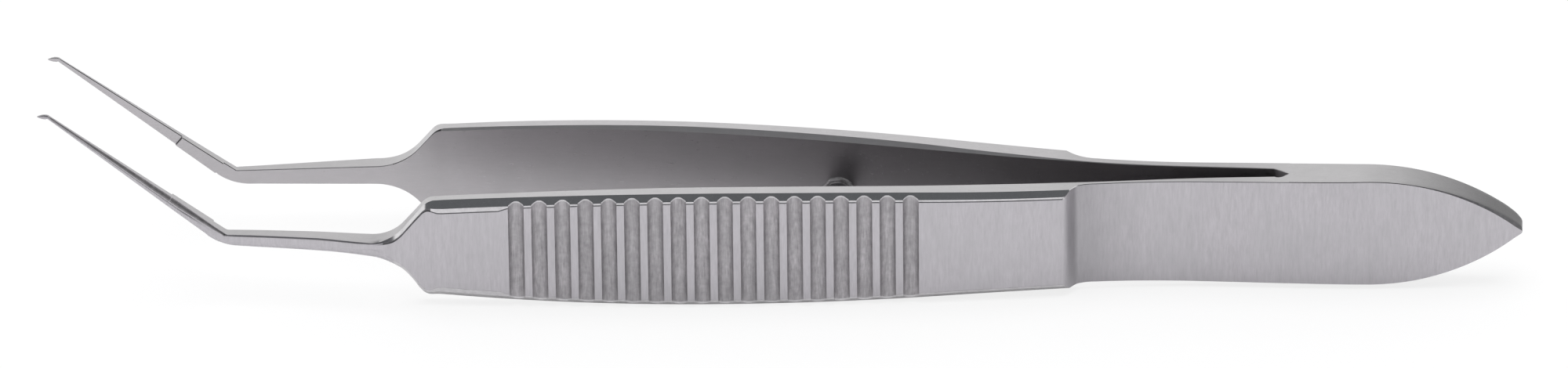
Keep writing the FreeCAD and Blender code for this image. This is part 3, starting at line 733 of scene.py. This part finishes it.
def skin(name, rings, finishes, materials):
    """Closed mesh over rings of points. finishes(i, j) names the material of a face."""
    vertices = [Vector(p) * MM for one in rings for p in one]
    count = len(rings[0])
    faces, chosen = [], []
    for i in range(len(rings) - 1):
        for j in range(count):
            k = (j + 1) % count
            faces.append((i * count + j, i * count + k, (i + 1) * count + k, (i + 1) * count + j))
            chosen.append(finishes(i, j))
    faces.append(tuple(reversed(range(count))))
    chosen.append(finishes(0, 0))
    end = (len(rings) - 1) * count
    faces.append(tuple(range(end, end + count)))
    chosen.append(finishes(len(rings) - 2, 0))
    mesh = bpy.data.meshes.new(name)
    mesh.from_pydata(vertices, [], faces)
    for material in materials:
        mesh.materials.append(material)
    mesh.polygons.foreach_set("material_index", chosen)
    return finish_mesh(name, mesh)


def finish_mesh(name, mesh):
    """Object of a mesh with outward faces, smooth but for its sharp edges."""
    work = bmesh.new()
    work.from_mesh(mesh)
    bmesh.ops.remove_doubles(work, verts=work.verts, dist=1e-8)
    bmesh.ops.recalc_face_normals(work, faces=work.faces)
    for face in work.faces:
        face.smooth = True
    for edge in work.edges:
        edge.smooth = not (len(edge.link_faces) == 2 and edge.calc_face_angle(0.0) > CREASE)
    work.to_mesh(mesh)
    work.free()
    piece = bpy.data.objects.new(name, mesh)
    bpy.context.scene.collection.objects.link(piece)
    return piece


def new_nodes(tree):
    """Nodes and links of a tree that has been emptied."""
    tree.nodes.clear()
    return tree.nodes, tree.links


def noise_node(nodes, links, vector, scale, detail):
    """Noise of a scale per metre, or per scaled unit where the vector is stretched."""
    made = nodes.new("ShaderNodeTexNoise")
    made.inputs["Scale"].default_value = scale
    made.inputs["Detail"].default_value = detail
    made.inputs["Roughness"].default_value = 0.6
    links.new(vector, made.inputs["Vector"])
    return made.outputs["Fac"]


def spread_node(nodes, links, value, low, high, start=0.3, end=0.7, smooth=False):
    """Value between start and end brought to the range from low to high."""
    made = nodes.new("ShaderNodeMapRange")
    if smooth:
        made.interpolation_type = "SMOOTHSTEP"
    for name, number in (("From Min", start), ("From Max", end), ("To Min", low), ("To Max", high)):
        made.inputs[name].default_value = number
    links.new(value, made.inputs["Value"])
    return made.outputs["Result"]


def math_node(nodes, links, operation, *values):
    """Result of an operation on values that are numbers or come from other nodes."""
    made = nodes.new("ShaderNodeMath")
    made.operation = operation
    for socket, value in zip(made.inputs, values):
        if isinstance(value, float):
            socket.default_value = value
        else:
            links.new(value, socket)
    return made.outputs["Value"]


# Noise scales of the steels per metre: across and along the streaks, and those of soft patches
# and of specks.
FINE_SCALES, BROAD_SCALES = (13000.0, 1700.0), (5200.0, 650.0)
PATCH_SCALE, SPECK_SCALE = 330.0, 3000.0
# The painted shade and darker tones along the part are kept from this many mm before its middle to
# as many past it.
SHADE_REACH = 42.0


def steel(name, colour, roughness, streak, depth, mottle=0.0, axis="z", metallic=1.0, painted_shade_and_tone=()):
    """Brushed, ground or blasted steel: streaks along one axis, soft patches and small specks.

    streak is how strong the streaks are, depth how high in metres they stand, and mottle how
    strong the patches and specks are. The shade pairs are (x, share) pairs in mm that darken the
    colour along the part; on the face, inner face and tail steels this darkening is painted shade.
    """
    material = bpy.data.materials.new(name)
    material.use_nodes = True
    nodes, links = new_nodes(material.node_tree)
    output = nodes.new("ShaderNodeOutputMaterial")
    shader = nodes.new("ShaderNodeBsdfPrincipled")
    shader.inputs["Metallic"].default_value = metallic
    links.new(shader.outputs["BSDF"], output.inputs["Surface"])
    place = nodes.new("ShaderNodeTexCoord").outputs["Object"]

    def stretched(across, lengthwise):
        made = nodes.new("ShaderNodeMapping")
        made.inputs["Scale"].default_value = {
            "z": (across, across, lengthwise), "x": (lengthwise, across, across),
            "none": (across, across, across)}[axis]
        links.new(place, made.inputs["Vector"])
        return made.outputs["Vector"]

    fine = noise_node(nodes, links, stretched(*FINE_SCALES), 1.0, 4.0)
    broad = noise_node(nodes, links, stretched(*BROAD_SCALES), 1.0, 3.0)
    patch = noise_node(nodes, links, place, PATCH_SCALE, 3.0)
    spots = noise_node(nodes, links, place, SPECK_SCALE, 4.0)

    # The fine streaks are stronger in some patches than in others.
    strength = spread_node(nodes, links, patch, 0.35, 1.25, 0.35, 0.65)
    centred = math_node(nodes, links, "SUBTRACT", fine, 0.5)
    wide = math_node(nodes, links, "SUBTRACT", broad, 0.5)
    fine_part = math_node(nodes, links, "MULTIPLY", centred, strength)
    both = math_node(nodes, links, "ADD", fine_part, wide)
    scaled = math_node(nodes, links, "MULTIPLY", both, streak * 1.6)
    lines = math_node(nodes, links, "ADD", scaled, 1.0)
    patches = spread_node(nodes, links, patch, 0.98 - mottle * 0.5, 1.02 + mottle * 0.5)
    specks = spread_node(nodes, links, spots, 0.99 - mottle, 1.01 + mottle)
    value = math_node(nodes, links, "MULTIPLY", lines, patches)
    value = math_node(nodes, links, "MULTIPLY", value, specks)
    # The ramp darkens the colour along X; on most steels that use it, this is painted shade.
    if painted_shade_and_tone:
        apart = nodes.new("ShaderNodeSeparateXYZ")
        links.new(place, apart.inputs["Vector"])
        reach = SHADE_REACH * MM
        span = spread_node(nodes, links, apart.outputs["X"], 0.0, 1.0, -reach, reach)
        ramp = nodes.new("ShaderNodeValToRGB")
        stops = ramp.color_ramp.elements
        places = [(x + SHADE_REACH) / (2 * SHADE_REACH) for x, _ in painted_shade_and_tone]
        stops[0].position, stops[1].position = places[0], places[-1]
        for position in places[1:-1]:
            stops.new(position)
        for stop, (_, share) in zip(stops, painted_shade_and_tone):
            stop.color = (share, share, share, 1)
        links.new(span, ramp.inputs["Fac"])
        value = math_node(nodes, links, "MULTIPLY", value, ramp.outputs["Color"])

    tint = nodes.new("ShaderNodeMix")
    tint.data_type = "RGBA"
    tint.inputs["A"].default_value = (*colour, 1)
    tint.inputs["B"].default_value = (colour[0] * 1.01, colour[1] * 0.985, colour[2], 1)
    links.new(patch, tint.inputs["Factor"])
    shade = nodes.new("ShaderNodeVectorMath")
    shade.operation = "SCALE"
    links.new(tint.outputs["Result"], shade.inputs[0])
    links.new(value, shade.inputs["Scale"])
    links.new(shade.outputs["Vector"], shader.inputs["Base Color"])

    dull = spread_node(nodes, links, fine, roughness + 0.05, roughness - 0.05)
    links.new(dull, shader.inputs["Roughness"])
    relief = nodes.new("ShaderNodeBump")
    relief.inputs["Strength"].default_value = 1.0
    relief.inputs["Distance"].default_value = depth
    links.new(both, relief.inputs["Height"])
    links.new(relief.outputs["Normal"], shader.inputs["Normal"])
    return material


# How bright the steels are along the part, as (x, share) pairs that scale their colour.
# The brushed face darkens at the relief behind the step: painted shade.
PAINTED_RELIEF_SHADE = ((-41, 0.98), (-18, 1.0), (15.8, 1.0), (15.98, 0.97), (16.2, 0.84), (16.6, 0.80),
               (17.1, 0.79), (18.2, 0.87), (20.5, 0.98), (28, 0.98))
# The top edges are darker towards the shank and along the leaf.
TOP_SHADES = ((-41, 0.86), (-28, 0.87), (-22.5, 0.92), (-19, 1.0), (8, 0.98), (14, 0.93),
              (19, 0.82), (24, 0.80), (28.2, 0.93))
# The tail's ground edges darken towards the tip: painted shade, standing in for a darker
# reflection.
PAINTED_TAIL_SHADE = ((28.2, 0.93), (32, 0.92), (34.5, 0.76), (37, 0.50), (39.5, 0.28), (41.3, 0.22))
# The inner faces darken where the arms face each other: painted shade between the arms.
PAINTED_INNER_SHADE = ((-41, 0.96), (-18, 1.0), (-9, 0.90), (0, 0.84), (6, 0.77), (12, 0.76), (16, 0.80),
                (20, 1.0), (27, 1.0))
GROUND = (0.555, 0.553, 0.557)

brushed = steel("brushed_steel", (0.493, 0.482, 0.503), 0.36, 0.15, 1.6e-6, painted_shade_and_tone=PAINTED_RELIEF_SHADE)
top_steel = steel("ground_edge_steel", GROUND, 0.32, 0.05, 0.7e-6, 0.01, "x", painted_shade_and_tone=TOP_SHADES)
painted_shade_tail_steel = steel("ground_tail_steel_painted_shade", GROUND, 0.32, 0.05, 0.7e-6, 0.01, "x", painted_shade_and_tone=PAINTED_TAIL_SHADE)
polished = steel("polished_edge_steel", (0.70, 0.702, 0.708), 0.18, 0.03, 0.4e-6, 0.02, "x")
worn = steel("worn_edge_steel", (0.59, 0.585, 0.595), 0.34, 0.06, 1.2e-6, 0.09, "x")
bevel_steel = steel("bevel_steel", (0.60, 0.595, 0.60), 0.5, 0.04, 0.8e-6, 0.01, "x")
# Nearly black steel that paints dark lines of shade along edges.
painted_line_steel = steel("painted_dark_line_steel", (0.13, 0.13, 0.135), 0.42, 0.10, 1.2e-6, 0.20, "none")
blasted = steel("blasted_groove_steel", (0.42, 0.410, 0.422), 0.5, 0.42, 6.0e-6, 0.10)
inside = steel("inner_face_steel_painted_shade", (0.475, 0.464, 0.476), 0.32, 0.04, 0.9e-6, 0.0, "x",
               painted_shade_and_tone=PAINTED_INNER_SHADE)
# The pin and its weld bead are darker than the arms: painted shade, as they stand between the arms.
# The bead is also a rougher, less metallic weld.
pin_steel = steel("pin_steel", (0.34, 0.337, 0.345), 0.3, 0.05, 1.0e-6, 0.04, "none")
painted_shade_weld_steel = steel("weld_bead_steel_painted_shade", (0.40, 0.395, 0.40), 0.45, 0.10, 6.0e-6, 0.30, "none", 0.7)
# Dark steel that paints the shade on the near shaft's upper corner.
scored = steel("painted_shade_shaft_steel", (0.27, 0.263, 0.27), 0.36, 0.20, 1.6e-6, 0.20, "none")
ARM_STEELS = [brushed, top_steel, polished, blasted, inside, worn, bevel_steel, painted_line_steel, scored]

# A section counts as rounded from this share on.
ROUNDED = 0.05


def build_arm(name, side):
    """One arm, from the weld at the tail to the point of its foot."""
    stations = plate_stations(side) + bend_stations(side) + shaft_stations(side)
    stations += foot_stations(side)
    rings = [ring(station, side) for station in stations]

    def finishes(i, j):
        index = j if j < HALF_COUNT else 2 * HALF_COUNT - 1 - j
        here, there = stations[i], stations[i + 1]
        rounded = max(here["round"], there["round"]) > ROUNDED
        if j < HALF_COUNT:
            return finish_of(index, here["kind"], rounded)
        kind = here["kind"] if here["kind"] in ("groove", "step") else "face"
        finish = finish_of(index, kind, rounded)
        return BEVEL if finish == POLISHED else finish

    return skin(name, rings, finishes, ARM_STEELS)


# Outer faces of the tail, and the ground bevel along them, by distance past the slot end.
TAIL_NEAR = [(0.0, 1.10), (2.3, 1.10), (4.0, 1.06), (7.5, 0.90), (10.6, 0.72), (12.3, 0.60),
             (13.56, 0.50)]
TAIL_FAR = [(0.0, 1.10), (8.0, 1.09), (12.6, 1.04), (13.1, 0.97), (13.4, 0.82), (13.56, 0.60)]
TAIL_BEVEL = [(0.0, 0.05), (7.5, 0.05), (9.5, 0.10), (12.0, 0.20), (13.2, 0.30), (13.56, 0.20)]


def tail_half_width(x):
    local = x - SLOT_X
    if local <= TAIL_WIDEST:
        return mix(SLOT_HALF, TAIL_HALF, local / TAIL_WIDEST)
    if local <= TIP_START:
        return bow(TAIL_HALF, TAIL_RADIUS, local - TAIL_WIDEST)
    return math.sqrt(max(TIP_RADIUS ** 2 - (local - TIP_CENTRE) ** 2, 0.0))


def build_tail(name):
    """Leaf-shaped tail with a rounded tip."""
    side_cuts, tip_cuts = 40, 5
    places = spread(APEX_X, SLOT_X + 5.0, 12)
    turns = [math.radians(TAIL_TURN * k / side_cuts) for k in range(side_cuts + 1)]
    places += [SLOT_X + TAIL_WIDEST + TAIL_RADIUS * math.sin(turn) for turn in turns]
    turns = [math.radians(30 * (1 - k / tip_cuts)) for k in range(1, tip_cuts)]
    places += [SLOT_X + TIP_CENTRE + TIP_RADIUS * math.cos(turn) for turn in turns]
    places.append(SLOT_X + TAIL_END)
    rings = []
    strips, across = 4, 6
    for x in places:
        local, half = x - SLOT_X, tail_half_width(x)
        near_face, far_face = along(TAIL_NEAR, local), along(TAIL_FAR, local)
        edge = along(TAIL_BEVEL, local)
        # The ground bevel is less high than wide, and leaves room for the face at the tip.
        edge_z = min(edge * 0.45, half * 0.6)
        points = [(-near_face, (half - edge_z) * k / strips) for k in range(strips + 1)]
        points += [(mix(-near_face + edge, far_face - EDGE, k / across), half)
                   for k in range(across + 1)]
        points += [(far_face, (half - EDGE * 0.5) * (1 - k / strips)) for k in range(strips + 1)]
        whole = points + [(y, -z) for y, z in reversed(points[1:-1])]
        rings.append([(x, y, MID_Z + z) for y, z in whole])
    count = len(rings[0])
    # The tail's near bevels take the dark line steel, a painted line of shade.
    sides, ground, line = range(3)

    def finishes(i, j):
        index = j if j < count // 2 else count - 1 - j
        if index < strips or index > strips + across + 1:
            return sides
        return line if index == strips else ground

    return skin(name, rings, finishes, [brushed, painted_shade_tail_steel, painted_line_steel])


def build_pin(name):
    """Stop pin on the far arm, with a ragged weld fillet round its foot."""
    lean = math.asin((PIN_X - BOW_X) / INNER_RADIUS)
    axis = Vector((-math.sin(lean), -math.cos(lean), 0))
    across = Vector((math.cos(lean), -math.sin(lean), 0))
    up = Vector((0, 0, 1))
    foot = Vector((PIN_X, inner_face(PIN_X), MID_Z))
    rise = -smooth_along(INNER_SHIFT[1], foot.x)
    tip = PIN_LENGTH + smooth_along(INNER_SHIFT[-1], foot.x) - PIN_ROOM
    around, cuts = 48, 6
    turns = [math.radians(90 * k / cuts) for k in range(1, cuts + 1)]
    profile = [(radius, reach, 1) for radius, reach in BEAD]
    profile += [(PIN_RADIUS, reach, 0) for reach in (0.45, 0.7, 1.5, 2.3, tip - PIN_ROUNDING)]
    profile += [(PIN_RADIUS - PIN_ROUNDING + PIN_ROUNDING * math.cos(turn),
                 tip - PIN_ROUNDING + PIN_ROUNDING * math.sin(turn), 0) for turn in turns]
    profile += [(0.25, tip, 0), (0.04, tip, 0)]
    rings = []
    for radius, reach, ragged in profile:
        one = []
        for k in range(around):
            turn = 2 * math.pi * k / around
            # Broad and fine unevenness, which the bead alone has.
            bump = noise.noise(Vector((3 * math.cos(turn), 3 * math.sin(turn), reach * 6)))
            lump = noise.noise(Vector((9 * math.cos(turn), 9 * math.sin(turn), 4.0)))
            wide = radius + ragged * (0.07 * bump + 0.03 * lump)
            high = reach + ragged * (rise + 0.05 * bump + 0.03 * lump)
            one.append(foot + axis * high + across * (wide * math.cos(turn))
                       + up * (wide * math.sin(turn)))
        rings.append([tuple(p) for p in one])
    return skin(name, rings, lambda i, j: 1 if i < len(BEAD) else 0, [pin_steel, painted_shade_weld_steel])


near = build_arm("near_arm_metal", -1)
far = build_arm("far_arm_metal", 1)
tail = build_tail("tail_metal")
pin = build_pin("stop_pin_metal")

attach(tail, "tail")
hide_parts("tail")
for arm, body in ((near, "near_arm"), (far, "far_arm")):
    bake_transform(arm)
    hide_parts(body)
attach(pin, "far_arm")
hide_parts("stop_pin")


def build_floor():
    """Pale floor that the camera sees almost white, with the object's soft shadow on it."""
    mesh = bpy.data.meshes.new("floor")
    reach = 3.0
    mesh.from_pydata([(-reach, -reach, 0), (reach, -reach, 0), (reach, reach, 0),
                      (-reach, reach, 0)], [], [(0, 1, 2, 3)])
    floor = bpy.data.objects.new("floor", mesh)
    # A hair under the object, so that the two never share a face.
    floor.location.z = -0.00002
    bpy.context.scene.collection.objects.link(floor)
    material = bpy.data.materials.new("pale_floor")
    material.use_nodes = True
    nodes, links = new_nodes(material.node_tree)
    output = nodes.new("ShaderNodeOutputMaterial")
    diffuse = nodes.new("ShaderNodeBsdfDiffuse")
    diffuse.inputs["Color"].default_value = (0.88, 0.88, 0.885, 1)
    glow = nodes.new("ShaderNodeEmission")
    glow.inputs["Color"].default_value = (1, 1, 1, 1)
    path = nodes.new("ShaderNodeLightPath").outputs
    seen = math_node(nodes, links, "MULTIPLY_ADD", path["Is Camera Ray"], 0.8, 0.0)
    share = math_node(nodes, links, "MULTIPLY_ADD", path["Is Glossy Ray"], 0.15, seen)
    blend = nodes.new("ShaderNodeMixShader")
    links.new(share, blend.inputs["Fac"])
    links.new(diffuse.outputs["BSDF"], blend.inputs[1])
    links.new(glow.outputs["Emission"], blend.inputs[2])
    links.new(blend.outputs["Shader"], output.inputs["Surface"])
    mesh.materials.append(material)


def build_world():
    """Pale studio, with a darker ceiling above the camera side."""
    world = bpy.data.worlds.new("studio")
    bpy.context.scene.world = world
    world.use_nodes = True
    nodes, links = new_nodes(world.node_tree)
    output = nodes.new("ShaderNodeOutputWorld")
    place = nodes.new("ShaderNodeTexCoord")
    toward = nodes.new("ShaderNodeVectorMath")
    toward.operation = "DOT_PRODUCT"
    toward.inputs[1].default_value = (0.0, -0.42, 0.907)
    links.new(place.outputs["Generated"], toward.inputs[0])
    ceiling = spread_node(nodes, links, toward.outputs["Value"], 0.0, 1.0, 0.45, 0.80, True)
    shade = nodes.new("ShaderNodeMix")
    shade.data_type = "RGBA"
    shade.inputs["A"].default_value = (1.0, 1.0, 1.0, 1)
    shade.inputs["B"].default_value = (0.135, 0.141, 0.147, 1)
    links.new(ceiling, shade.inputs["Factor"])
    studio = nodes.new("ShaderNodeBackground")
    links.new(shade.outputs["Result"], studio.inputs["Color"])
    plain = nodes.new("ShaderNodeBackground")
    plain.inputs["Color"].default_value = (1, 1, 1, 1)
    path = nodes.new("ShaderNodeLightPath")
    blend = nodes.new("ShaderNodeMixShader")
    links.new(path.outputs["Is Camera Ray"], blend.inputs["Fac"])
    links.new(studio.outputs["Background"], blend.inputs[1])
    links.new(plain.outputs["Background"], blend.inputs[2])
    links.new(blend.outputs["Shader"], output.inputs["Surface"])


def build_lamp():
    """Soft round lamp above, which doesn't show in the steel."""
    lamp = bpy.data.lights.new("top_lamp", "AREA")
    lamp.shape = "DISK"
    lamp.size = 0.9
    lamp.energy = 7.0
    holder = bpy.data.objects.new("top_lamp", lamp)
    holder.location = (0.0, -0.05, 0.9)
    holder.visible_glossy = False
    bpy.context.scene.collection.objects.link(holder)


def build_camera():
    """Long lens at the photograph's angle: 30 degrees above and 3 degrees round.

    The picture is view_width mm wide at the object, and a little rolled.
    """
    turn, lift, roll = math.radians(3.3), math.radians(29.76), math.radians(0.64)
    right = Vector((math.cos(turn), math.sin(turn), 0))
    up = Vector((-math.sin(turn) * math.sin(lift), math.cos(turn) * math.sin(lift), math.cos(lift)))
    back = Vector((math.sin(turn) * math.cos(lift), -math.cos(turn) * math.cos(lift),
                   math.sin(lift)))
    rolled = right * math.cos(roll) - up * math.sin(roll)
    upright = right * math.sin(roll) + up * math.cos(roll)
    aim = Vector((0, 0, MID_Z)) + rolled * 0.058 + upright * 1.705
    camera = bpy.data.cameras.new("camera")
    camera.lens, camera.sensor_width = 350, 36
    view_width = 87.66
    distance = view_width / camera.sensor_width * camera.lens
    camera.clip_start, camera.clip_end = 0.01, 10
    holder = bpy.data.objects.new("camera", camera)
    axes = Matrix((rolled, upright, back)).transposed()
    holder.matrix_world = Matrix.Translation((aim + back * distance) * MM) @ axes.to_4x4()
    bpy.context.scene.collection.objects.link(holder)
    bpy.context.scene.camera = holder


build_floor()
build_world()
build_lamp()
build_camera()
bpy.context.scene.view_settings.view_transform = "Standard"
